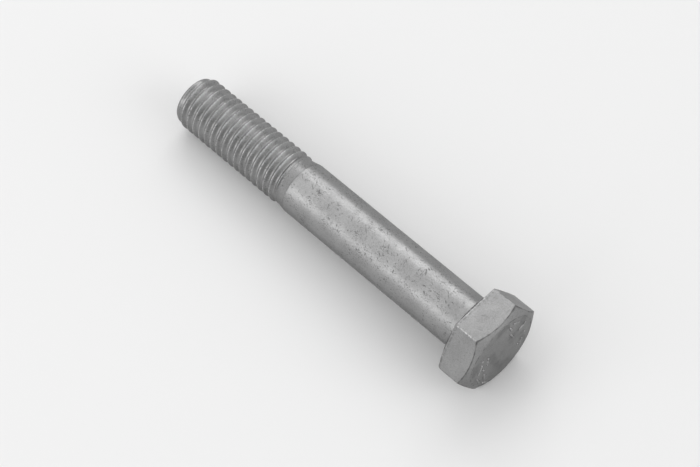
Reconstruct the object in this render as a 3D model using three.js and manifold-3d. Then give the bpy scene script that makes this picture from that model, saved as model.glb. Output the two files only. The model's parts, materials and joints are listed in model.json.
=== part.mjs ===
// Hexagon head bolt, M12 x 1.75 x 80, partly threaded, hot-dip galvanised.
// Millimetres. The bolt is drawn on the X axis: the bearing plane under the head is x = 0,
// the head points to +X and the thread to -X. At the end the whole bolt is laid down on
// z = 0, where it rests on one flat of its head and on the thread crests near its point.

import * as THREE from 'three';
import { mergeVertices } from 'three/addons/utils/BufferGeometryUtils.js';
import Module from 'manifold-3d';

// Driving dimensions of the head
const ACROSS_FLATS = 19;
const HEAD_HEIGHT = 7.5;               // bearing plane to outer face, washer face included
const WASHER_FACE_HEIGHT = 0.6;
const WASHER_FACE_RADIUS = 8.7;
const FACE_CIRCLE_RADIUS = 8.78;       // where the crown chamfer starts on the outer face
const CROWN_CHAMFER = THREE.MathUtils.degToRad(30);
const BACK_CORNER_RADIUS = 10.7;       // the six corners are softened on the bearing side
const BACK_CORNER_HEIGHT = 0.35;

// Driving dimensions of the shank
const LENGTH = 80;                     // bearing plane to point
const SHANK_RADIUS = 5.95;
const UNDERHEAD_FILLET = 0.7;
const NECK_RADIUS = 5.54;              // blank size where the rolled thread starts
const NECK_START = -47.4;
const NECK_END = -49.5;

// Driving dimensions of the thread
const PITCH = 1.75;
const THREAD_LENGTH = 30.4;
const CREST_RADIUS = 5.93;
const ROOT_RADIUS = 4.87;
const CREST_FLAT = PITCH / 8;
const FLANK_ANGLE = THREE.MathUtils.degToRad(30);
const CREST_PLACE = -52.384;           // where one crest crosses the +Y side of the bolt
const RUN_OUT = 1.2;                   // the thread fades into the neck over this length
const POINT_RADIUS = 5.2;              // end face of the chamfered point, before its edge break
const POINT_LENGTH = 1.5;
const POINT_EDGE = 0.2;

// Fineness of the curved surfaces
const ROUND_STEPS = 72;
const THREAD_STEPS = 36;
const FILLET_STEPS = 4;

const THREAD_END = -LENGTH + THREAD_LENGTH;

const galvanisedSteel = {
  color: 0x9a9c9e,
  roughness: 0.45,
  metalness: 0.85,
};

const wasm = await Module();
wasm.setup();

function toSolid(geometry) {
  const bare = geometry.clone();
  bare.deleteAttribute('normal');
  bare.deleteAttribute('uv');
  const merged = mergeVertices(bare, 1e-5);
  return new wasm.Manifold(new wasm.Mesh({
    numProp: 3,
    vertProperties: new Float32Array(merged.attributes.position.array),
    triVerts: new Uint32Array(merged.index.array),
  }));
}

function toGeometry(solid) {
  const mesh = solid.getMesh();
  const geometry = new THREE.BufferGeometry();
  geometry.setAttribute('position', new THREE.BufferAttribute(mesh.vertProperties, 3));
  geometry.setIndex(new THREE.BufferAttribute(mesh.triVerts, 1));
  geometry.computeVertexNormals();
  return geometry;
}

// A round solid on the X axis, from [x, radius] pairs that run from -X to +X.
function turned(outline) {
  const points = outline.map(([x, radius]) => new THREE.Vector2(radius, x));
  return new THREE.LatheGeometry(points, ROUND_STEPS).rotateZ(-Math.PI / 2);
}

// The straight hexagon bar that the head is cut from, with flats facing +Z and -Z.
function hexagonBar() {
  const cornerRadius = ACROSS_FLATS / Math.sqrt(3);
  const corners = Array.from({ length: 6 }, (_, i) => {
    const angle = Math.PI / 6 + i * Math.PI / 3;
    return new THREE.Vector2(cornerRadius * Math.cos(angle), cornerRadius * Math.sin(angle));
  });
  const depth = HEAD_HEIGHT - WASHER_FACE_HEIGHT;
  const bar = new THREE.ExtrudeGeometry(new THREE.Shape(corners), { depth, bevelEnabled: false });
  return bar.rotateY(Math.PI / 2).translate(WASHER_FACE_HEIGHT, 0, 0);
}

// The hexagon with its corners cut back by the 30 degree crown and softened behind.
function hexHead() {
  const outside = ACROSS_FLATS / Math.sqrt(3) + 0.5;
  const crownDrop = (outside - FACE_CIRCLE_RADIUS) * Math.tan(CROWN_CHAMFER);
  const backSlope = BACK_CORNER_HEIGHT / (ACROSS_FLATS / Math.sqrt(3) - BACK_CORNER_RADIUS);
  const backRise = (outside - BACK_CORNER_RADIUS) * backSlope;
  const crown = turned([
    [WASHER_FACE_HEIGHT, 0],
    [WASHER_FACE_HEIGHT, BACK_CORNER_RADIUS],
    [WASHER_FACE_HEIGHT + backRise, outside],
    [HEAD_HEIGHT - crownDrop, outside],
    [HEAD_HEIGHT, FACE_CIRCLE_RADIUS],
    [HEAD_HEIGHT, 0],
  ]);
  return toGeometry(toSolid(hexagonBar()).intersect(toSolid(crown)));
}

// The thin round bearing land between the hexagon and the clamped part. Its face has a ring of
// points where the underhead fillet meets it.
function washerFace() {
  return turned([
    [0, 0],
    [0, SHANK_RADIUS + UNDERHEAD_FILLET],
    [0, WASHER_FACE_RADIUS],
    [WASHER_FACE_HEIGHT, WASHER_FACE_RADIUS],
    [WASHER_FACE_HEIGHT, 0],
  ]);
}

// The unthreaded grip: neck, cone up to full size, and the fillet under the head.
function plainShank() {
  const fillet = Array.from({ length: FILLET_STEPS + 1 }, (_, i) => {
    const turn = i / FILLET_STEPS * Math.PI / 2;
    return [
      -UNDERHEAD_FILLET * (1 - Math.sin(turn)),
      SHANK_RADIUS + UNDERHEAD_FILLET * (1 - Math.cos(turn)),
    ];
  });
  return turned([
    [THREAD_END, 0],
    [THREAD_END, NECK_RADIUS],
    [NECK_END, NECK_RADIUS],
    [NECK_START, SHANK_RADIUS],
    ...fillet,
    [0, 0],
  ]);
}

// A right-hand helical ridge on a core, longer than the thread at both ends. Each row of
// points follows one edge of the profile round the core, and the last point of a turn is the
// first point of the next turn's row. Both ends are closed by a fan to the axis.
function ridgedCore() {
  const depth = CREST_RADIUS - ROOT_RADIUS;
  const flankWidth = depth * Math.tan(FLANK_ANGLE);
  const profile = [
    [-CREST_FLAT / 2, CREST_RADIUS],
    [CREST_FLAT / 2, CREST_RADIUS],
    [CREST_FLAT / 2 + flankWidth, ROOT_RADIUS],
    [PITCH - CREST_FLAT / 2 - flankWidth, ROOT_RADIUS],
  ];
  const turns = Math.ceil(THREAD_LENGTH / PITCH) + 3;
  const turnsBelow = Math.ceil((CREST_PLACE + LENGTH) / PITCH) + 1;
  const lowest = CREST_PLACE - turnsBelow * PITCH;
  const rows = turns * profile.length;
  const positions = [];
  for (let row = 0; row <= rows; row++) {
    const [offset, fullRadius] = profile[row % profile.length];
    const rowStart = lowest + Math.floor(row / profile.length) * PITCH + offset;
    for (let step = 0; step < THREAD_STEPS; step++) {
      const part = step / THREAD_STEPS;
      const angle = part * 2 * Math.PI;
      const x = rowStart + part * PITCH;
      const strength = THREE.MathUtils.clamp((THREAD_END - x) / RUN_OUT, 0, 1);
      const radius = NECK_RADIUS + (fullRadius - NECK_RADIUS) * strength;
      positions.push(x, radius * Math.cos(angle), radius * Math.sin(angle));
    }
  }
  const pointAt = (row, step) => (step < THREAD_STEPS
    ? row * THREAD_STEPS + step
    : (row + profile.length) * THREAD_STEPS);
  const lastRow = rows - profile.length;
  const triangles = [];
  for (let row = 0; row < lastRow; row++) {
    for (let step = 0; step < THREAD_STEPS; step++) {
      const here = pointAt(row, step);
      const round = pointAt(row, step + 1);
      const along = pointAt(row + 1, step);
      const both = pointAt(row + 1, step + 1);
      triangles.push(here, round, both, here, both, along);
    }
  }
  const endLoop = (row) => {
    const helix = Array.from({ length: THREAD_STEPS + 1 }, (_, step) => pointAt(row, step));
    const stair = Array.from({ length: profile.length - 1 }, (_, i) => (
      pointAt(row + profile.length - 1 - i, 0)));
    return [...helix, ...stair];
  };
  const closeEnd = (row, facesBack) => {
    const hub = positions.length / 3;
    positions.push(positions[pointAt(row, 0) * 3], 0, 0);
    const loop = endLoop(row);
    loop.forEach((corner, i) => {
      const next = loop[(i + 1) % loop.length];
      triangles.push(...(facesBack ? [hub, next, corner] : [hub, corner, next]));
    });
  };
  closeEnd(0, true);
  closeEnd(lastRow, false);
  const geometry = new THREE.BufferGeometry();
  geometry.setAttribute('position', new THREE.Float32BufferAttribute(positions, 3));
  geometry.setIndex(triangles);
  return geometry;
}

// The ridged core cut to length, with the chamfered point that starts a nut.
function threadedEnd() {
  const outside = CREST_RADIUS + 0.5;
  const pointSlope = POINT_LENGTH / (SHANK_RADIUS - POINT_RADIUS);
  const envelope = turned([
    [-LENGTH, 0],
    [-LENGTH, POINT_RADIUS - POINT_EDGE],
    [-LENGTH + POINT_EDGE, POINT_RADIUS],
    [-LENGTH + POINT_EDGE + (outside - POINT_RADIUS) * pointSlope, outside],
    [THREAD_END, outside],
    [THREAD_END, 0],
  ]);
  return toGeometry(toSolid(ridgedCore()).intersect(toSolid(envelope)));
}

function region(name, geometry) {
  const mesh = new THREE.Mesh(geometry, new THREE.MeshStandardMaterial(galvanisedSteel));
  mesh.name = name;
  return mesh;
}

// The crest nearest the point that still has its full height on the -Z side of the bolt.
function lastFullCrest() {
  const anyCrest = CREST_PLACE + 0.75 * PITCH;
  const fullFrom = -LENGTH + POINT_EDGE + POINT_LENGTH;
  return anyCrest - Math.floor((anyCrest - fullFrom) / PITCH) * PITCH - CREST_FLAT / 2;
}

// On a level surface the head's lowest flat and that crest touch down, so the head end of the
// axis is lifted by this angle.
function restingLean() {
  const drop = ACROSS_FLATS / 2 - CREST_RADIUS;
  return Math.atan2(drop, WASHER_FACE_HEIGHT - lastFullCrest());
}

const bolt = new THREE.Group();
bolt.add(
  region('hex_head', hexHead()),
  region('washer_face', washerFace()),
  region('plain_shank', plainShank()),
  region('threaded_end', threadedEnd()),
);
bolt.rotation.y = -restingLean();

const box = new THREE.Box3().setFromObject(bolt, true);
const middle = box.getCenter(new THREE.Vector3());
bolt.position.set(-middle.x, -middle.y, -box.min.z);

export default bolt;
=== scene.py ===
import json
import math

import bmesh
import bpy
import numpy as np
from mathutils import Matrix, Vector


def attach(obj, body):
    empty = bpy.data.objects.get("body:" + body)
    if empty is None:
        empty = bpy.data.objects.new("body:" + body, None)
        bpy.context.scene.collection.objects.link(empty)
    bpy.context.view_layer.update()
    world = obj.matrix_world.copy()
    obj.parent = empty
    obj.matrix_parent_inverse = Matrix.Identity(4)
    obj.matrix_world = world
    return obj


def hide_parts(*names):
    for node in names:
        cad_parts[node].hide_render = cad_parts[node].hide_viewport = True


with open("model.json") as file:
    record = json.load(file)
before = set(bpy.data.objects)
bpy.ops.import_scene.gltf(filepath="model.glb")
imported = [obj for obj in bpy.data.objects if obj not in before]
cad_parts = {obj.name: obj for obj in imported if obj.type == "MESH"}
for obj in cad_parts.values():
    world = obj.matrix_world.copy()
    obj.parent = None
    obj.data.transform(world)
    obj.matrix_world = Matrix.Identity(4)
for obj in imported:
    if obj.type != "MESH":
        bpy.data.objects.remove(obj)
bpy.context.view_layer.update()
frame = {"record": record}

MM = 0.001
FULL_TURN = 2 * math.pi
QUARTER_TURN = math.pi / 2
SIDE_TURN = math.pi / 3                 # from one flat of the hexagon to the next
HALF_SIDE = math.pi / 6                 # from the middle of a flat to a corner
WELD_DISTANCE = 1e-7                    # in metres
WAVE_LENGTHS = (0.7, 2.2)               # shortest and longest wave of an uneven field, in its sizes

# Every uneven field is drawn from a seed of its own
SEEDS = {
    "head_swell": 12, "face_swell": 13, "shank_swell": 14, "shank_ripple": 15, "point_swell": 17,
    "smudges": 19, "crease_width": 20, "broken_edges": 21,
}

# Sizes of the head, in millimetres, beyond those read from the frame
WASHER_FACE_HEIGHT = 0.6
WASHER_FACE_RADIUS = 8.7
WASHER_FACE_EDGE = 0.12                 # rounding of its bearing edge
WASHER_FACE_CREASE = 0.08               # rounding where it meets the hexagon
FACE_CIRCLE_RADIUS = 8.78
FACE_RIM_DROP = 0.02
FACE_RIM_ROUNDING = 0.06
CROWN_SLOPE = math.tan(math.radians(30))
CORNER_ROUNDING = 0.2
CROWN_ROUNDING = 0.09
BACK_ROUNDING = 0.16
GROOVE_WIDTH = 0.30
GROOVE_DEPTH = 0.07
GROOVE_MARGIN = 0.1                     # from the groove to the face circle
GROOVE_RADIUS = FACE_CIRCLE_RADIUS - GROOVE_MARGIN - GROOVE_WIDTH / 2
GROOVE_EDGE_ROUNDING = 0.06
GROOVE_BED_ROUNDING = 0.04
# How much each bearing-side corner was rounded in forging, corner by corner round the axis from +Y
BACK_CORNER_ROUNDING = [0.55, 0.3, 0.35, 1.1, 0.8, 0.6]
BACK_CORNER_REACH = 0.16                # radians from the corner over which the rounding fades

# Sizes of the shank and thread, in millimetres
SHANK_RADIUS = 5.97
UNDERHEAD_FILLET = 0.7
NECK_RADIUS = 5.54
NECK_START = -47.4
NECK_END = -49.5
NECK_START_ROUNDING = 0.3
NECK_END_ROUNDING = 0.4
THREAD_LENGTH = 30.4
PITCH = 1.75
CREST_RADIUS = 5.95
ROOT_RADIUS = 5.2
CREST_PLACE = -52.384                   # where one crest crosses the +Y side of the bolt
RUN_OUT = 0.35                          # shortest length over which the ridge fades into the neck
RUN_OUT_SPREAD = 1.6                    # how much longer that length is on the other side
RUN_OUT_SIDE = math.radians(-40)        # the side on which it is longest
RUN_OUT_MARGIN = 0.05                   # plain neck left beyond the ridge
POINT_RADIUS = 5.2
POINT_LENGTH = 1.5
POINT_EDGE = 0.12
POINT_UNEVENNESS = 0.05


def mount(name):
    found = next(m for m in frame["record"]["mounts"] if m["name"] == name)
    return Vector(found["pos_m"]) / MM, Vector(found["axis"])


head_face, bolt_axis = mount("head_face")
bearing_face = mount("bearing_face")[0]
point_face = mount("point_face")[0]
upper_flat, bolt_up = mount("upper_spanner_flat")
lower_flat = mount("lower_spanner_flat")[0]

HEAD_HEIGHT = (head_face - bearing_face).dot(bolt_axis)
LENGTH = (bearing_face - point_face).dot(bolt_axis)
ACROSS_FLATS = (upper_flat - lower_flat).dot(bolt_up)
THREAD_END = THREAD_LENGTH - LENGTH
BOLT_TO_ROW = Matrix.Translation((head_face - bolt_axis * HEAD_HEIGHT) * MM) @ Matrix(
    (bolt_axis, bolt_up.cross(bolt_axis), bolt_up)).transposed().to_4x4()


# ---------------------------------------------------------------- mesh helpers

def around(x, radius, angle):
    """Points in bolt millimetres: x along the axis, and the radius and angle about it, where the
    angle is 0 towards +Y and a quarter turn towards +Z."""
    return np.stack(np.broadcast_arrays(x, radius * np.cos(angle), radius * np.sin(angle)), axis=-1)


def waviness(points, size, field, waves=20):
    """A smooth uneven field, about -1 to 1, whose bumps are about size millimetres across."""
    chance = np.random.default_rng(SEEDS[field])
    total = np.zeros(points.shape[:-1])
    for _ in range(waves):
        direction = chance.normal(size=3)
        direction /= np.linalg.norm(direction)
        length = size * chance.uniform(*WAVE_LENGTHS)
        total += np.sin(points @ direction * FULL_TURN / length + chance.uniform(0, FULL_TURN))
    return total / math.sqrt(waves)


def grid_faces(rows, columns):
    """Quads between rings of points, each ring closing on itself."""
    return [
        (a * columns + b, a * columns + (b + 1) % columns,
         (a + 1) * columns + (b + 1) % columns, (a + 1) * columns + b)
        for a in range(rows - 1) for b in range(columns)
    ]


def smooth(share):
    """0 to 1 with soft ends."""
    share = np.clip(share, 0, 1)
    return share * share * (3 - 2 * share)


def bell(distance, width):
    """1 at no distance, fading to nothing over about two widths."""
    return np.exp(-(distance / width) ** 2)


def band(distance, strength, place, width):
    """A soft line that lies at a place beside an edge, from the distance to it, for rubbed wear and
    painted highlights and for painted shade.
    """
    return strength * bell(distance - place, width)


def strongest(*layers):
    """The largest of several layers, point by point."""
    return np.maximum.reduce(layers)


def add_piece(name, points, faces, stands_for, painted_highlight_and_rubbing, painted_shade_and_smudges, pitted):
    """A smooth closed mesh of the bolt from points in bolt millimetres. The three attributes say, for
    each point, how far the zinc is lightened by rubbing and painted highlight, darkened by smudges and
    painted shade, and carries pits and dents."""
    mesh = bpy.data.meshes.new(name)
    mesh.from_pydata((points * MM).tolist(), [], faces)
    mesh.transform(BOLT_TO_ROW)
    for attribute, values in (("painted_highlight_and_rubbing", painted_highlight_and_rubbing), ("painted_shade_and_smudges", painted_shade_and_smudges), ("pitted", pitted)):
        layer = mesh.attributes.new(attribute, "FLOAT", "POINT")
        layer.data.foreach_set("value", values.astype(np.float32))
    work = bmesh.new()
    work.from_mesh(mesh)
    bmesh.ops.remove_doubles(work, verts=work.verts, dist=WELD_DISTANCE)
    bmesh.ops.recalc_face_normals(work, faces=work.faces)
    work.to_mesh(mesh)
    work.free()
    mesh.shade_smooth()
    piece = bpy.data.objects.new(name, mesh)
    bpy.context.scene.collection.objects.link(piece)
    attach(piece, "root")
    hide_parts(*stands_for)
    return piece


def rounded_outline(corners, steps, arc_steps=5):
    """A polyline in (x, radius) with rounded corners. Each corner is (x, radius, rounding), and
    steps says into how many lengths each straight stretch is cut."""
    spots = [np.array(c[:2]) for c in corners]
    stretches = []
    for i, (here, corner) in enumerate(zip(spots, corners)):
        rounding = corner[2]
        if rounding == 0:
            stretches.append([here])
            continue
        before = (spots[i - 1] - here) / np.linalg.norm(spots[i - 1] - here)
        after = (spots[i + 1] - here) / np.linalg.norm(spots[i + 1] - here)
        half = math.acos(np.clip(before @ after, -1, 1)) / 2
        reach = rounding / math.tan(half)
        centre = here + (before + after) / np.linalg.norm(before + after) * rounding / math.sin(half)
        start, end = here + before * reach - centre, here + after * reach - centre
        sweep = math.acos(np.clip(start @ end / rounding ** 2, -1, 1))
        arc = []
        for k in range(arc_steps + 1):
            share = k / arc_steps
            arc.append(centre + (math.sin((1 - share) * sweep) * start
                                 + math.sin(share * sweep) * end) / math.sin(sweep))
        stretches.append(arc)
    line = []
    for i, stretch in enumerate(stretches):
        line.extend(stretch)
        if i + 1 < len(stretches):
            for k in range(1, steps[i]):
                share = (1 - math.cos(math.pi * k / steps[i])) / 2
                line.append(stretch[-1] * (1 - share) + stretches[i + 1][0] * share)
    return np.array(line)


# ---------------------------------------------------------------- the head

# Raised generic marks on the outer face, as strokes between two points in (y, z) millimetres
FACE_MARKS = [
    ((5.1, 2.0), (6.9, 2.7)),
    ((4.7, -3.2), (4.7, -3.2)),
    ((6.6, -0.6), (6.6, -0.6)),
    ((3.6, 6.4), (5.0, 5.3)),
    ((2.5, 6.0), (3.0, 4.6)),
    ((2.7, 3.1), (3.6, 0.9)),
    ((5.9, -2.4), (5.2, -3.9)),
    ((-5.2, 2.7), (-5.2, 2.7)),
    ((-5.4, 1.2), (-6.4, -0.8)),
    ((-3.6, 1.8), (-3.9, -0.2)),
    ((-5.0, -1.0), (-5.0, -1.0)),
    ((-6.9, -2.4), (-6.3, -4.2)),
    ((-4.9, -2.9), (-4.9, -4.6)),
    ((-5.4, -5.6), (-4.4, -6.4)),
]
MARK_REACH = 0.36                       # from the middle of a stroke to its foot
MARK_HEIGHT = 0.2
MARK_STEEPNESS = 1.5

# Fineness of the head's mesh: points along each side of the hexagon, how far they are drawn
# towards its corners, and lengths in each stretch of the section from the face to the bearing plane
HEAD_SIDE_STEPS = 96
CORNER_CROWDING = 0.7
HEAD_SECTION_STEPS = [100, 1, 1, 14, 40, 4, 3, 6, 2]

# Unevenness of the forging: its height, and how far across its bumps are
HEAD_UNEVENNESS = 0.006
HEAD_SWELL_SIZE = 2.4
FACE_UNEVENNESS = 0.035
FACE_SWELL_SIZE = 3.2
FACE_MARGIN = 0.5                       # the rim of the outer face is even over this width
FACE_FADE = 1.2                         # and the unevenness grows to its full height over this
FACE_TOLERANCE = 0.01                   # how deep below its plane still counts as the outer face
BEARING_MARGIN = 0.1                    # the head stays true over this height at the bearing plane
FILLET_MARGIN = 0.05                    # and over this width where the fillet meets it

# Rubbing and painted highlights, smudges and painted shade on the head. A band is its strength, its
# place and its width: the place is the distance in millimetres from the edge that it follows.
HEAD_PITTING = 0.4
RUBBED_LIT_CORNER = math.radians(120)       # the one corner that gets a painted highlight, partly rubbed zinc, and no dark line
LIT_CORNER_HIGHLIGHT_AND_WEAR = 0.9
# the other corners get a darker line
OTHER_CORNER_DARK_LINE = 0.6
CORNER_LINE_WIDTH = 0.11
CORNER_LINE_START = 0.3                 # behind the crown's edge
SIDE_DEPTH = 0.2                        # how far below a flat still counts as the hexagon's side
# painted highlight, partly rubbed zinc, in a broken line along the back edges of the flats
BACK_EDGE_HIGHLIGHT_AND_WEAR = (0.6, 0.15, 0.12)
# painted shadow of the gap under the head, filling the gaps of that bright line
BACK_EDGE_PAINTED_SHADOW = (0.5, 0.45, 0.22)
# painted shadow on the underside of the hexagon, outside the washer face
BACK_CREASE_PAINTED_SHADOW = (0.8, 0.02, 0.09)
BACK_CREASE_START = 0.3                 # outside the washer face
# painted shadow on the washer face, under the hexagon
UNDERHEAD_PAINTED_SHADOW = (0.9, 0, 0.3)
UNDERHEAD_LAYER = 0.05                  # above the washer face
# painted shade in the groove round the outer face
GROOVE_PAINTED_SHADE = (0.7, 0, 0.16)
GROOVE_LAYER = 0.3                      # below the outer face
# A painted dark line of shade along the crown's edge, patchy in width and wider at the corners
CREASE_PAINTED_SHADE = 0.9
CREASE_PLACE = 0.02
CREASE_WIDTH = 0.1
CREASE_VARIATION = 0.4
CREASE_VARIATION_SIZE = 1.2
CREASE_CORNER_REACH = 0.1               # radians from a corner over which the crease is wider
BREAK_SIZE = 0.7                        # of the gaps in lines along the edges
# painted shade that darkens the crown chamfer slightly
CROWN_PAINTED_SHADE = 0.12
CROWN_PAINTED_SHADE_END = 0.1                 # behind the crown's edge
FACE_SMUDGING = 0.33
SMUDGE_SIZE = 3.0
# painted highlight, partly rubbed zinc, on the tops of the raised marks
MARK_TOP_HIGHLIGHT_AND_WEAR = 0.8
MARK_FOOT = 0.75                        # painted shade lies round the foot of a mark up to this share of its height
MARK_FOOT_SHARPNESS = 4


def hexagon_radius(angle):
    """Distance from the axis to the hexagon's rounded outline."""
    flat = ACROSS_FLATS / 2
    from_flat = (angle - QUARTER_TURN + HALF_SIDE) % SIDE_TURN - HALF_SIDE
    to_corner = HALF_SIDE - abs(from_flat)
    centre = (flat - CORNER_ROUNDING) / math.cos(HALF_SIDE)
    straight_half = (flat - CORNER_ROUNDING) * math.tan(HALF_SIDE)
    if abs(from_flat) < math.atan2(straight_half, flat):
        return flat / math.cos(from_flat)
    reach = math.sqrt(CORNER_ROUNDING ** 2 - (centre * math.sin(to_corner)) ** 2)
    return centre * math.cos(to_corner) + reach


def corner_distance(angle):
    """Angle to the nearest corner of the hexagon."""
    return abs((angle + HALF_SIDE) % SIDE_TURN - HALF_SIDE)


def crown_edge(radius):
    """How far along the bolt the crown chamfer has dropped to, at a radius."""
    return HEAD_HEIGHT - (radius - FACE_CIRCLE_RADIUS) * CROWN_SLOPE


def head_section(angle):
    """The head's outline on one side of the axis, from the middle of its outer face to the
    bearing plane."""
    radius = hexagon_radius(angle)
    closeness = bell(corner_distance(angle), BACK_CORNER_REACH)
    nearest = BACK_CORNER_ROUNDING[round(angle / SIDE_TURN) % 6]
    back = BACK_ROUNDING + (nearest - BACK_ROUNDING) * closeness
    corners = [
        (HEAD_HEIGHT, 0, 0),
        (HEAD_HEIGHT, GROOVE_RADIUS - GROOVE_WIDTH / 2, GROOVE_EDGE_ROUNDING),
        (HEAD_HEIGHT - GROOVE_DEPTH, GROOVE_RADIUS, GROOVE_BED_ROUNDING),
        (HEAD_HEIGHT - FACE_RIM_DROP, FACE_CIRCLE_RADIUS, FACE_RIM_ROUNDING),
        (crown_edge(radius), radius, CROWN_ROUNDING),
        (WASHER_FACE_HEIGHT, radius, back),
        (WASHER_FACE_HEIGHT, WASHER_FACE_RADIUS, WASHER_FACE_CREASE),
        (0, WASHER_FACE_RADIUS - WASHER_FACE_EDGE, WASHER_FACE_EDGE),
        (0, SHANK_RADIUS + UNDERHEAD_FILLET, 0),
        (0, 0, 0),
    ]
    return rounded_outline(corners, HEAD_SECTION_STEPS)


def face_relief(y, z):
    """Height of the marks on the outer face, 0 to 1."""
    height = np.zeros_like(y)
    for (y0, z0), (y1, z1) in FACE_MARKS:
        length_squared = (y1 - y0) ** 2 + (z1 - z0) ** 2
        along = 0 if length_squared == 0 else np.clip(
            ((y - y0) * (y1 - y0) + (z - z0) * (z1 - z0)) / length_squared, 0, 1)
        away = np.hypot(y - y0 - along * (y1 - y0), z - z0 - along * (z1 - z0))
        height = np.maximum(height, smooth(MARK_STEEPNESS * (1 - away / MARK_REACH)))
    return height


def head_angles():
    """Directions round the axis, closest together at the corners of the hexagon."""
    steps = (np.arange(HEAD_SIDE_STEPS) + 0.5) / HEAD_SIDE_STEPS * 2 - 1
    spread = (1 - CORNER_CROWDING) * steps + CORNER_CROWDING * np.sin(steps * QUARTER_TURN)
    sides = [QUARTER_TURN + side * SIDE_TURN + HALF_SIDE * spread for side in range(6)]
    return np.concatenate(sides) % FULL_TURN


def head_wear_and_painted_light(points, along, radius, angles, relief, on_face):
    """How far each point of the head is lightened by rubbing and painted highlight, and how far it is
    darkened by smudges and painted shade.
    """
    behind_crown = np.array([crown_edge(hexagon_radius(a)) for a in angles]) - along
    before_back = along - WASHER_FACE_HEIGHT
    corner_turn = np.array([corner_distance(a) for a in angles])
    on_side = radius > ACROSS_FLATS / 2 - SIDE_DEPTH
    outside_washer_face = radius > WASHER_FACE_RADIUS + BACK_CREASE_START
    near_face = along > HEAD_HEIGHT - GROOVE_LAYER
    near_bearing = before_back < UNDERHEAD_LAYER
    on_crown = (behind_crown < CROWN_PAINTED_SHADE_END) * (radius > FACE_CIRCLE_RADIUS)
    corner_line = bell(corner_turn * ACROSS_FLATS / 2, CORNER_LINE_WIDTH) * on_side
    corner_line = corner_line * (behind_crown > CORNER_LINE_START)
    rubbed_lit_corner = np.cos(angles - RUBBED_LIT_CORNER) > math.cos(HALF_SIDE)
    broken = smooth(0.5 + waviness(points, BREAK_SIZE, "broken_edges"))
    painted_highlight_and_rubbing = strongest(
        # painted highlight, partly rubbed zinc, along that one corner
        LIT_CORNER_HIGHLIGHT_AND_WEAR * corner_line * rubbed_lit_corner,
        band(before_back, *BACK_EDGE_HIGHLIGHT_AND_WEAR) * on_side * broken,
        MARK_TOP_HIGHLIGHT_AND_WEAR * smooth(relief * 2 - 1),
    )

    crease_variation = CREASE_VARIATION * waviness(points, CREASE_VARIATION_SIZE, "crease_width")
    crease_width = CREASE_WIDTH * (1 + crease_variation + bell(corner_turn, CREASE_CORNER_REACH))
    # painted shade round the foot of each raised mark
    mark_foot = smooth(relief * MARK_FOOT_SHARPNESS) * smooth((MARK_FOOT - relief) * MARK_FOOT_SHARPNESS)
    painted_shade_and_smudges = strongest(
        band(behind_crown, CREASE_PAINTED_SHADE, CREASE_PLACE, crease_width) * on_side,
        OTHER_CORNER_DARK_LINE * corner_line * (1 - rubbed_lit_corner) * broken,
        band(before_back, *BACK_EDGE_PAINTED_SHADOW) * on_side * (1 - broken),
        band(before_back, *BACK_CREASE_PAINTED_SHADOW) * outside_washer_face,
        CROWN_PAINTED_SHADE * on_crown,
        FACE_SMUDGING * on_face * smooth(waviness(points, SMUDGE_SIZE, "smudges")),
        band(radius - GROOVE_RADIUS, *GROOVE_PAINTED_SHADE) * near_face * broken,
        mark_foot,
        band(radius - WASHER_FACE_RADIUS, *UNDERHEAD_PAINTED_SHADOW) * near_bearing,
    )
    return painted_highlight_and_rubbing, painted_shade_and_smudges


def head():
    angles = head_angles()
    sections = np.array([head_section(a) for a in angles]).transpose(1, 0, 2)
    along, radius = sections[..., 0], sections[..., 1]
    points = around(along, radius, angles[None, :])

    on_face = along > HEAD_HEIGHT - FACE_TOLERANCE
    on_face &= radius < FACE_CIRCLE_RADIUS - FACE_MARGIN
    relief = face_relief(points[..., 1], points[..., 2]) * on_face
    rim_fade = smooth((FACE_CIRCLE_RADIUS - FACE_MARGIN - radius) / FACE_FADE)
    points[..., 0] += MARK_HEIGHT * relief
    face_swell = FACE_UNEVENNESS * waviness(points, FACE_SWELL_SIZE, "face_swell")
    points[..., 0] += on_face * rim_fade * face_swell
    free = along > BEARING_MARGIN
    free &= radius > SHANK_RADIUS + UNDERHEAD_FILLET + FILLET_MARGIN
    swell = HEAD_UNEVENNESS * waviness(points, HEAD_SWELL_SIZE, "head_swell") * free
    points[..., 1] += swell * np.cos(angles)
    points[..., 2] += swell * np.sin(angles)

    painted_highlight_and_rubbing, painted_shade_and_smudges = head_wear_and_painted_light(points, along, radius, angles, relief, on_face)
    return add_piece("head", points.reshape(-1, 3), grid_faces(*radius.shape),
                     ["hex_head", "washer_face"], painted_highlight_and_rubbing.reshape(-1), painted_shade_and_smudges.reshape(-1),
                     np.full(radius.size, HEAD_PITTING))


# ---------------------------------------------------------------- the shank

SHANK_COLUMNS = 240
SHANK_STEP = 0.25
FILLET_POINTS = 8
NECK_LEAD = 0.08                        # how far before the neck its finer points start
NECK_STEPS = [1, 8, 2]
# Unevenness of the shank: its height, and how far across its bumps are
SHANK_UNEVENNESS = 0.004
SHANK_SWELL_SIZE = 2.6
SHANK_SWELL_STRETCH = (0.45, 1, 1)      # below 1, the bumps are drawn out along the bolt
SHANK_FINE_UNEVENNESS = 0.002
SHANK_RIPPLE_SIZE = 1.1
SHANK_FADE = 1.5                        # over this length both die away at the ends
# Bands of painted shade, where the shank meets the head and in the step of the neck: strength, place
# beside the edge and width
HEAD_JOIN_PAINTED_SHADOW = (0.9, 0, 0.35)
NECK_PAINTED_SHADE = (0.4, -0.1, 0.12)


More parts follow.
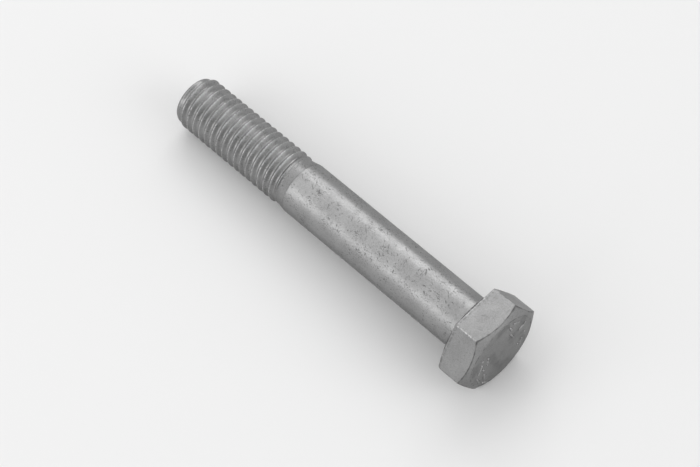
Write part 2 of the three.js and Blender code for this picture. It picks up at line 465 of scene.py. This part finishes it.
def shank_outline():
    """The shank's outline in (x, radius), from the bearing plane to the thread's end."""
    turn = np.linspace(QUARTER_TURN, 0, FILLET_POINTS)
    fillet = np.stack([-UNDERHEAD_FILLET * (1 - np.sin(turn)),
                       SHANK_RADIUS + UNDERHEAD_FILLET * (1 - np.cos(turn))], axis=1)
    plain_x = np.arange(-UNDERHEAD_FILLET - SHANK_STEP, NECK_START + NECK_LEAD, -SHANK_STEP)
    plain = np.stack([plain_x, np.full_like(plain_x, SHANK_RADIUS)], axis=1)
    neck = rounded_outline([
        (NECK_START + NECK_LEAD, SHANK_RADIUS, 0),
        (NECK_START, SHANK_RADIUS, NECK_START_ROUNDING),
        (NECK_END, NECK_RADIUS, NECK_END_ROUNDING),
        (THREAD_END, NECK_RADIUS, 0),
    ], NECK_STEPS)
    return np.concatenate([[(0, 0)], fillet, plain, neck, [(THREAD_END, 0)]])


def shank():
    angles = np.arange(SHANK_COLUMNS) / SHANK_COLUMNS * FULL_TURN
    outline = shank_outline()
    points = around(outline[:, :1], outline[:, 1:], angles[None, :])
    inside_ends = np.clip((points[..., 0] - THREAD_END) / SHANK_FADE, 0, 1)
    inside_ends *= np.clip(-points[..., 0] / SHANK_FADE, 0, 1)
    bumps = SHANK_UNEVENNESS * waviness(points * SHANK_SWELL_STRETCH, SHANK_SWELL_SIZE, "shank_swell")
    bumps += SHANK_FINE_UNEVENNESS * waviness(points, SHANK_RIPPLE_SIZE, "shank_ripple")
    points[..., 1] += bumps * inside_ends * np.cos(angles)
    points[..., 2] += bumps * inside_ends * np.sin(angles)
    painted_shade_and_smudges = band(points[..., 0], *HEAD_JOIN_PAINTED_SHADOW) + band(points[..., 0] - NECK_START, *NECK_PAINTED_SHADE)
    return add_piece("shank", points.reshape(-1, 3), grid_faces(*painted_shade_and_smudges.shape), ["plain_shank"],
                     np.zeros(painted_shade_and_smudges.size), painted_shade_and_smudges.reshape(-1), np.ones(painted_shade_and_smudges.size))


# ---------------------------------------------------------------- the thread

THREAD_COLUMNS = 160
POINT_EDGE_RINGS = 5
POINT_FACE_RINGS = 17
POINT_SWELL_SIZE = 3.0
THREAD_PITTING = 0.8
# Painted highlight on the thread crests, partly rubbed zinc
CREST_HIGHLIGHT_AND_WEAR = 0.75
CREST_HIGHLIGHT_DEPTH = 0.045                # the crests are lightened, as painted highlight and rubbed zinc, down to this far below their top
# Height of the thread's profile, 1 at the crest and 0 at the root, against the way from the crest
# to the root, 0 to 0.5. The crest and the zinc-filled root are both rounded.
PROFILE = [
    (0, 1), (0.03, 0.996), (0.055, 0.98), (0.08, 0.93), (0.11, 0.84), (0.15, 0.7), (0.2, 0.52),
    (0.24, 0.385), (0.28, 0.27), (0.32, 0.17), (0.36, 0.09), (0.4, 0.04), (0.43, 0.018),
    (0.465, 0.004), (0.5, 0),
]
PROFILE_PLACES, PROFILE_HEIGHTS = np.array(PROFILE).T
# The zinc has run so that the root lies nearer to the crest on its head side. These shares of the
# pitch are the root's distances from the crests on its two sides.
ROOT_TO_NEXT_CREST = 0.46
ROOT_TO_LAST_CREST = 1 - ROOT_TO_NEXT_CREST


def way_to_root(x, angle):
    """How far a point is on the way from the nearest crest to the root, 0 to 0.5."""
    beyond = ((x - CREST_PLACE) / PITCH - angle / FULL_TURN) % 1
    return np.where(beyond < ROOT_TO_LAST_CREST,
                    beyond / ROOT_TO_LAST_CREST / 2, (1 - beyond) / ROOT_TO_NEXT_CREST / 2)


def thread_radius(x, angle):
    """Radius of the threaded surface. The ridge grows out of the neck and dies on the point."""
    height = np.interp(way_to_root(x, angle), PROFILE_PLACES, PROFILE_HEIGHTS)
    cone = POINT_RADIUS + (x + LENGTH) * (SHANK_RADIUS - POINT_RADIUS) / POINT_LENGTH
    crest = np.minimum(CREST_RADIUS, cone)
    root = np.minimum(ROOT_RADIUS, crest)
    full = root + (crest - root) * height
    run_out = RUN_OUT + RUN_OUT_SPREAD * (1 + np.cos(angle - RUN_OUT_SIDE)) / 2
    return NECK_RADIUS + (full - NECK_RADIUS) * smooth((THREAD_END - RUN_OUT_MARGIN - x) / run_out)


def helix_grid(columns):
    """Points of the threaded surface on rows that follow the helix, and the quads between them.
    Rows beyond the thread's two ends are folded onto them."""
    stations = np.concatenate([
        PROFILE_PLACES[:-1] * 2 * ROOT_TO_LAST_CREST,
        1 - PROFILE_PLACES[:0:-1] * 2 * ROOT_TO_NEXT_CREST,
    ])
    turns = math.ceil(THREAD_LENGTH / PITCH) + 3
    lowest = CREST_PLACE - (math.ceil((CREST_PLACE + LENGTH) / PITCH) + 1) * PITCH
    starts = lowest + (np.arange(turns)[:, None] + stations[None, :]).reshape(-1) * PITCH
    share = np.arange(columns) / columns
    x = np.clip(starts[:, None] + share[None, :] * PITCH, -LENGTH + POINT_EDGE, THREAD_END)
    angles = np.broadcast_to(share * FULL_TURN, x.shape)
    in_turn = len(stations)
    faces = []
    for a in range(len(starts) - in_turn - 1):
        for b in range(columns):
            here, above = a * columns + b, (a + 1) * columns + b
            last = b == columns - 1
            right = (a + in_turn) * columns if last else here + 1
            above_right = (a + 1 + in_turn) * columns if last else above + 1
            faces.append((here, right, above_right, above))
    return around(x, thread_radius(x, angles), angles), faces


def point_rings(ring):
    """Rings of points over the broken edge of the point and across its slightly hollow end face."""
    edge_radius = thread_radius(np.full(ring.shape, -LENGTH + POINT_EDGE), ring)
    turn = np.linspace(0, QUARTER_TURN, POINT_EDGE_RINGS)[:, None]
    cap_x = -LENGTH + POINT_EDGE * (1 - np.sin(turn))
    cap_radius = edge_radius[None, :] - POINT_EDGE * (1 - np.cos(turn))
    cap = around(cap_x, cap_radius, ring[None, :])
    shares = np.linspace(1, 0, POINT_FACE_RINGS + 1)[1:, None]
    end = around(-LENGTH, shares * cap_radius[-1][None, :], ring[None, :])
    swell = POINT_UNEVENNESS * waviness(end, POINT_SWELL_SIZE, "point_swell")
    end[..., 0] += np.abs(swell * (1 - shares ** 4))
    return np.concatenate([cap, end])


def thread():
    columns = THREAD_COLUMNS
    ring = np.arange(columns) / columns * FULL_TURN
    grid, faces = helix_grid(columns)
    blocks = [grid.reshape(-1, 3)]
    neck_disc = around(THREAD_END, np.array([[NECK_RADIUS], [0]]), ring[None, :])
    for rings in (point_rings(ring), neck_disc):
        offset = sum(len(block) for block in blocks)
        faces += [tuple(offset + v for v in f) for f in grid_faces(len(rings), columns)]
        blocks.append(rings.reshape(-1, 3))
    points = np.concatenate(blocks)
    below_top = CREST_RADIUS - np.hypot(points[:, 1], points[:, 2])
    painted_highlight_and_rubbing = CREST_HIGHLIGHT_AND_WEAR * np.clip(1 - below_top / CREST_HIGHLIGHT_DEPTH, 0, 1)
    return add_piece("thread", points, faces, ["threaded_end"], painted_highlight_and_rubbing, np.zeros(len(points)),
                     np.full(len(points), THREAD_PITTING))


# ---------------------------------------------------------------- material

# The sockets of a Mix node that carry colours
MIX_A = 6
MIX_B = 7
MIX_RESULT = 2


class Nodes:
    """Short calls for building a node tree."""

    def __init__(self, tree):
        self.tree = tree

    def add(self, kind, inputs=None, **settings):
        node = self.tree.nodes.new(kind)
        for key, value in settings.items():
            setattr(node, key, value)
        for key, value in (inputs or {}).items():
            if isinstance(value, bpy.types.NodeSocket):
                self.tree.links.new(value, node.inputs[key])
            else:
                node.inputs[key].default_value = value
        return node

    def noise(self, place, scale, detail=3.0, roughness=0.55):
        return self.add("ShaderNodeTexNoise", {
            "Vector": place, "Scale": scale, "Detail": detail, "Roughness": roughness}).outputs["Fac"]

    def turned(self, place, turn, scale):
        """The place turned first and then stretched, which one mapping node does the other way."""
        turned = self.add("ShaderNodeMapping", {"Vector": place, "Rotation": turn})
        return self.add("ShaderNodeMapping", {
            "Vector": turned.outputs["Vector"], "Scale": scale}).outputs["Vector"]

    def range(self, value, low, high, to_low=0.0, to_high=1.0):
        """A soft step as the value goes from low to high. High may be the smaller of the two."""
        return self.add("ShaderNodeMapRange", {
            "Value": value, "From Min": low, "From Max": high,
            "To Min": to_low, "To Max": to_high}, interpolation_type="SMOOTHSTEP").outputs["Result"]

    def math(self, operation, a, b):
        return self.add("ShaderNodeMath", {0: a, 1: b}, operation=operation).outputs["Value"]

    def mix(self, share, a, b):
        """Colour a mixed towards colour b. A plain number stands for a grey."""
        node = self.add("ShaderNodeMix", {"Factor": share}, data_type="RGBA")
        for socket, value in ((node.inputs[MIX_A], a), (node.inputs[MIX_B], b)):
            if isinstance(value, bpy.types.NodeSocket):
                self.tree.links.new(value, socket)
            else:
                socket.default_value = (value, value, value, 1)
        return node.outputs[MIX_RESULT]


# Tones of the zinc, of its pits, of the painted shade and smudges, and of the rubbed zinc and painted
# highlights
ZINC_DARK = 0.265
ZINC_LIGHT = 0.305
GRAIN_TONE = 0.022
PIT_TONE = 0.07
SHADE_AND_SMUDGE_TONE = 0.05
HIGHLIGHT_AND_RUBBED_TONE = 0.62
EDGE_ON_TONE = 0.6
METALLIC = 0.85
# How far pits, painted shade and smudges, and rubbing and painted highlights cover the zinc
PIT_COVER = 0.6
SHADE_AND_SMUDGE_COVER = 0.85
HIGHLIGHT_AND_RUBBED_COVER = 0.85
# Roughness of dark and light zinc, and what the grain and the pits and the painted shade and smudges add
# to it
DARK_ROUGHNESS = 0.36
LIGHT_ROUGHNESS = 0.31
GRAIN_ROUGHNESS = 0.03
SPOT_ROUGHNESS = 0.2
# Relief of the surface, in millimetres
GRAIN_HEIGHT = 0.008
BLOB_HEIGHT = 0.011
PIT_DEPTH = 0.014

# Noise patterns on the bolt: scale per millimetre, detail and roughness
CLOUDS = (0.22, 4.0, 0.55)
GRAIN = (3.6, 3.0, 0.6)
BLOBS = (0.9, 2.0, 0.55)
PITS = (3.2, 3.0, 0.6)
PIT_CLUSTERS = (0.3, 2.0, 0.55)
DENTS = (2.0, 2.0, 0.55)
HIGHLIGHT_AND_RUBBED_PATCHES = (2.4, 3.0, 0.55)
SHADE_AND_SMUDGE_PATCHES = (0.9, 3.0, 0.55)
# Values of those patterns between which each feature comes in
MIDDLE_VALUES = (0.3, 0.7)
PIT_VALUES = (0.41, 0.345)
PIT_CLUSTER_VALUES = (0.38, 0.62)
DENT_VALUES = (0.38, 0.31)
DENT_CLUSTER_VALUES = (0.46, 0.58)
HIGHLIGHT_AND_RUBBED_VALUES = (0.44, 0.60)
SHADE_AND_SMUDGE_VALUES = (0.36, 0.58)
LEAST_SHADE_AND_SMUDGE = 0.45                    # the share of it that is left between its patches
# Short dents are drawn out along one direction. They lie in three directions, each given as the
# turn of its pattern in degrees and the noise pattern of the places where such dents occur.
DENT_STRETCH = (0.32, 1.5, 1.5)
DENT_KINDS = [
    ((0, 0, 38), (0.27, 1.0, 0.55)),
    ((20, 0, -32), (0.32, 1.0, 0.55)),
    ((0, 15, 80), (0.37, 1.0, 0.55)),
]


def pits_and_dents(n, place):
    """1 in the small pits and short dents of the zinc, and 0 between them."""
    clusters = n.range(n.noise(place, *PIT_CLUSTERS), *PIT_CLUSTER_VALUES)
    dark = n.math("MULTIPLY", n.range(n.noise(place, *PITS), *PIT_VALUES), clusters)
    for degrees, cluster_pattern in DENT_KINDS:
        turn = tuple(math.radians(d) for d in degrees)
        drawn_out = n.turned(place, turn, DENT_STRETCH)
        here = n.range(n.noise(place, *cluster_pattern), *DENT_CLUSTER_VALUES)
        dents = n.math("MULTIPLY", n.range(n.noise(drawn_out, *DENTS), *DENT_VALUES), here)
        dark = n.math("MAXIMUM", dark, dents)
    return dark


def galvanised_steel():
    """Dull hot-dip zinc: cloudy grey with fine grain, small dark pits and short dents, smudges and
    painted shade along creases and edges, and edges and crests lightened by rubbing and painted
    highlights."""
    material = bpy.data.materials.new("galvanised_steel")
    material.use_nodes = True
    tree = material.node_tree
    tree.nodes.clear()
    n = Nodes(tree)
    row_place = n.add("ShaderNodeTexCoord").outputs["Object"]
    # Millimetres along the bolt and across it
    place = n.add("ShaderNodeMapping", {
        "Vector": row_place, "Rotation": (0, math.asin(bolt_axis.z), 0),
        "Scale": (1 / MM,) * 3}).outputs["Vector"]
    painted_highlight_and_rubbing, painted_shade_and_smudges, pitted = (
        n.add("ShaderNodeAttribute", attribute_name=name).outputs["Fac"]
        for name in ("painted_highlight_and_rubbing", "painted_shade_and_smudges", "pitted"))

    clouds = n.noise(place, *CLOUDS)
    grain = n.noise(place, *GRAIN)
    blobs = n.noise(place, *BLOBS)
    dark = n.math("MULTIPLY", pits_and_dents(n, place), pitted)
    # painted shade and smudges, broken into patches
    shade_and_smudging_share = n.range(n.noise(place, *SHADE_AND_SMUDGE_PATCHES), *SHADE_AND_SMUDGE_VALUES, LEAST_SHADE_AND_SMUDGE, 1.0)
    shade_and_smudging = n.math("MULTIPLY", painted_shade_and_smudges, shade_and_smudging_share)
    # painted highlights and rubbed zinc, broken into patches
    highlight_and_rubbing_share = n.range(n.noise(place, *HIGHLIGHT_AND_RUBBED_PATCHES), *HIGHLIGHT_AND_RUBBED_VALUES)
    highlight_and_rubbing = n.math("MULTIPLY", painted_highlight_and_rubbing, n.math("MULTIPLY", highlight_and_rubbing_share, HIGHLIGHT_AND_RUBBED_COVER))

    tone = n.range(clouds, *MIDDLE_VALUES, ZINC_DARK, ZINC_LIGHT)
    tone = n.math("ADD", tone, n.range(grain, *MIDDLE_VALUES, -GRAIN_TONE, GRAIN_TONE))
    colour = n.add("ShaderNodeCombineColor", {"Red": tone, "Green": tone, "Blue": tone}).outputs["Color"]
    colour = n.mix(n.math("MULTIPLY", dark, PIT_COVER), colour, PIT_TONE)
    colour = n.mix(highlight_and_rubbing, colour, HIGHLIGHT_AND_RUBBED_TONE)
    colour = n.mix(n.math("MULTIPLY", shade_and_smudging, SHADE_AND_SMUDGE_COVER), colour, SHADE_AND_SMUDGE_TONE)

    roughness = n.range(clouds, *MIDDLE_VALUES, DARK_ROUGHNESS, LIGHT_ROUGHNESS)
    grain_roughness = n.range(grain, *MIDDLE_VALUES, GRAIN_ROUGHNESS, -GRAIN_ROUGHNESS)
    spot_roughness = n.math("MULTIPLY", n.math("MAXIMUM", dark, shade_and_smudging), SPOT_ROUGHNESS)
    roughness = n.math("ADD", n.math("ADD", roughness, grain_roughness), spot_roughness)

    grain_height = n.math("MULTIPLY", grain, GRAIN_HEIGHT)
    height = n.math("ADD", grain_height, n.math("MULTIPLY", blobs, BLOB_HEIGHT))
    height = n.math("SUBTRACT", height, n.math("MULTIPLY", dark, PIT_DEPTH))
    bump = n.add("ShaderNodeBump", {"Height": height, "Strength": 1.0, "Distance": MM}).outputs["Normal"]

    surface = n.add("ShaderNodeBsdfPrincipled", {
        "Base Color": colour, "Metallic": METALLIC, "Roughness": roughness, "Normal": bump,
        "Specular Tint": (EDGE_ON_TONE, EDGE_ON_TONE, EDGE_ON_TONE, 1)})
    output = n.add("ShaderNodeOutputMaterial")
    tree.links.new(surface.outputs["BSDF"], output.inputs["Surface"])
    return material


# ---------------------------------------------------------------- stage

FLOOR_HALF = 3.0                        # in metres
FLOOR_TONES = (0.75, 0.77)
FLOOR_CLOUDS = (3.0, 2.0)               # noise scale per metre, and detail
FLOOR_ROUGHNESS = 0.9
FLOOR_SPECULAR = 0.1
SKY_STRENGTH = 0.62

# Softboxes: azimuth and elevation in degrees, distance, width and height in metres, and radiance
SOFTBOXES = {
    "far_window": (-144.5, 40, 0.9, 0.74, 0.44, 2.05),
    "near_window": (-15, 29, 0.9, 0.88, 0.47, 1.72),
    "near_skirt": (-22, 5, 0.9, 0.9, 0.20, 0.6),
    "overhead": (-82, 57, 1.0, 1.30, 0.64, 1.0),
    "head_fill": (106, 24, 1.0, 0.8, 0.75, 1.8),
}

# The camera: where it stands round the bolt in degrees, how it is rolled, what it aims at, how far
# away it is in metres, and its focal length and sensor in millimetres
CAMERA_AZIMUTH = 46.828
CAMERA_ELEVATION = 60.593
CAMERA_ROLL = math.radians(-2.329)
CAMERA_AIM = Vector((2.156, 0, 5.109)) * MM
CAMERA_DISTANCE = 0.44053
CAMERA_LENS = 111.56
CAMERA_SENSOR = 36
CAMERA_NEAREST = 0.01                   # in metres


def direction(azimuth, elevation):
    """Unit vector towards a place round the bolt: azimuth 0 is -Y and 90 is +X."""
    a, e = math.radians(azimuth), math.radians(elevation)
    return Vector((math.sin(a) * math.cos(e), -math.cos(a) * math.cos(e), math.sin(e)))


def softbox(name, azimuth, elevation, distance, width, height, radiance):
    light = bpy.data.lights.new(name, "AREA")
    light.shape = "RECTANGLE"
    light.size = width
    light.size_y = height
    light.energy = radiance * width * height * math.pi
    lamp = bpy.data.objects.new(name, light)
    way = direction(azimuth, elevation)
    lamp.location = way * distance
    lamp.rotation_euler = way.to_track_quat("Z", "Y").to_euler()
    lamp.visible_camera = False
    bpy.context.scene.collection.objects.link(lamp)


def floor():
    mesh = bpy.data.meshes.new("floor")
    corners = [(x * FLOOR_HALF, y * FLOOR_HALF, 0) for x, y in ((-1, -1), (1, -1), (1, 1), (-1, 1))]
    mesh.from_pydata(corners, [], [(0, 1, 2, 3)])
    piece = bpy.data.objects.new("floor", mesh)
    bpy.context.scene.collection.objects.link(piece)
    material = bpy.data.materials.new("pale_floor")
    material.use_nodes = True
    n = Nodes(material.node_tree)
    surface = material.node_tree.nodes["Principled BSDF"]
    place = n.add("ShaderNodeTexCoord").outputs["Object"]
    soft = n.mix(n.noise(place, *FLOOR_CLOUDS), *FLOOR_TONES)
    material.node_tree.links.new(soft, surface.inputs["Base Color"])
    surface.inputs["Roughness"].default_value = FLOOR_ROUGHNESS
    surface.inputs["Specular IOR Level"].default_value = FLOOR_SPECULAR
    mesh.materials.append(material)


def studio():
    world = bpy.data.worlds.new("studio")
    world.use_nodes = True
    background = world.node_tree.nodes["Background"]
    background.inputs["Color"].default_value = (1, 1, 1, 1)
    background.inputs["Strength"].default_value = SKY_STRENGTH
    bpy.context.scene.world = world
    for name, numbers in SOFTBOXES.items():
        softbox(name, *numbers)
    bpy.context.scene.view_settings.view_transform = "Standard"
    bpy.context.scene.view_settings.look = "None"


def camera():
    """The view looks down on the bolt past its head, with a long lens."""
    data = bpy.data.cameras.new("camera")
    data.lens = CAMERA_LENS
    data.sensor_width = CAMERA_SENSOR
    data.clip_start = CAMERA_NEAREST
    view = bpy.data.objects.new("camera", data)
    back = direction(CAMERA_AZIMUTH, CAMERA_ELEVATION)
    right = Vector((-back.y, back.x, 0)).normalized()
    up = back.cross(right)
    turned_right = right * math.cos(CAMERA_ROLL) + up * math.sin(CAMERA_ROLL)
    turned_up = up * math.cos(CAMERA_ROLL) - right * math.sin(CAMERA_ROLL)
    turn = Matrix((turned_right, turned_up, back)).transposed().to_4x4()
    view.matrix_world = Matrix.Translation(CAMERA_AIM + back * CAMERA_DISTANCE) @ turn
    bpy.context.scene.collection.objects.link(view)
    bpy.context.scene.camera = view


galvanised = galvanised_steel()
for piece in (head(), shank(), thread()):
    piece.data.materials.append(galvanised)
floor()
studio()
camera()
